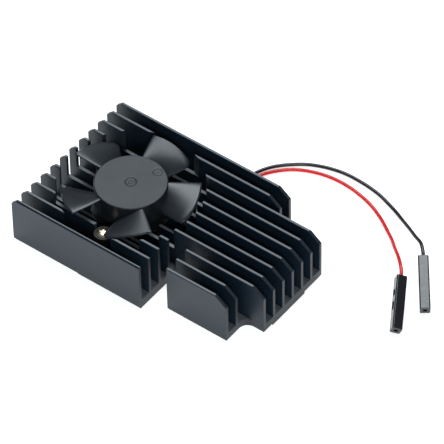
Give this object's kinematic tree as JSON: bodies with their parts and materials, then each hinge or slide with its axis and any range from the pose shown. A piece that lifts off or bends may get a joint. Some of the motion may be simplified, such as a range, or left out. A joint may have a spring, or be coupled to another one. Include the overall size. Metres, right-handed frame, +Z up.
{
  "type": "finned heatsink with fan",
  "caption": "Black milled aluminium heatsink with straight fins and a frameless axial fan let into them, a slot for a ribbon cable, and two loose fan wires with single-pin sockets.",
  "frame": {"origin": "centre of the heatsink's footprint, on the surface that the contact lands and pads stand on", "axes": "+X along the fins, +Y towards the edge where the wires leave, +Z up out of the fins"},
  "size_m": [0.0924, 0.0633, 0.0148],
  "materials": {
    "black_anodised": "satin black anodised, finely milled",
    "black_plastic": "moulded matt black",
    "impeller_black": "moulded satin black, fine grained top",
    "housing_black": "moulded satin black",
    "sintered_bronze": "oil-filled sintered bronze",
    "screw_brass": "pale yellow passivated",
    "shaft_steel": "ground and polished",
    "steel": "pressed sheet steel",
    "tinned_metal": "tin plated",
    "copper": "enamelled copper wire",
    "magnet": "bonded ferrite",
    "white_plastic": "moulded white nylon",
    "board_green": "green soldermask",
    "chip_black": "moulded epoxy",
    "ceramic": "fired ceramic",
    "thermal_pad": "soft silicone, dull blue-grey",
    "red_insulation": "smooth flexible vinyl, red",
    "black_insulation": "smooth flexible vinyl, black"
  },
  "bodies": {
    "root": {"heatsink_body": "black_anodised", "fan_base": "black_plastic", "bearing_sleeve": "sintered_bronze", "thrust_washer": "white_plastic", "oil_seal": "white_plastic", "stator_core": "steel", "upper_insulator": "white_plastic", "lower_insulator": "white_plastic", "stator_coils": "copper", "driver_board": "board_green", "hall_chip": "chip_black", "filter_capacitor": "ceramic", "fan_screws": "screw_brass", "red_lead": "red_insulation", "black_lead": "black_insulation", "processor_pad": "thermal_pad", "memory_pad": "thermal_pad", "network_pad": "thermal_pad", "red_wire": "red_insulation", "black_wire": "black_insulation", "red_housing": "housing_black", "black_housing": "housing_black", "red_terminal": "tinned_metal", "black_terminal": "tinned_metal"},
    "rotor": {"impeller": "impeller_black", "rotor_yoke": "steel", "ring_magnet": "magnet", "shaft_bush": "screw_brass", "shaft": "shaft_steel", "retaining_clip": "steel"}
  },
  "joints": [
    {"name": "fan_spin", "type": "hinge", "parent": "root", "child": "rotor", "pos_m": [-0.0128, -0.0002, 0.0148], "axis": [0, 0, 1], "continuous": true}
  ]
}
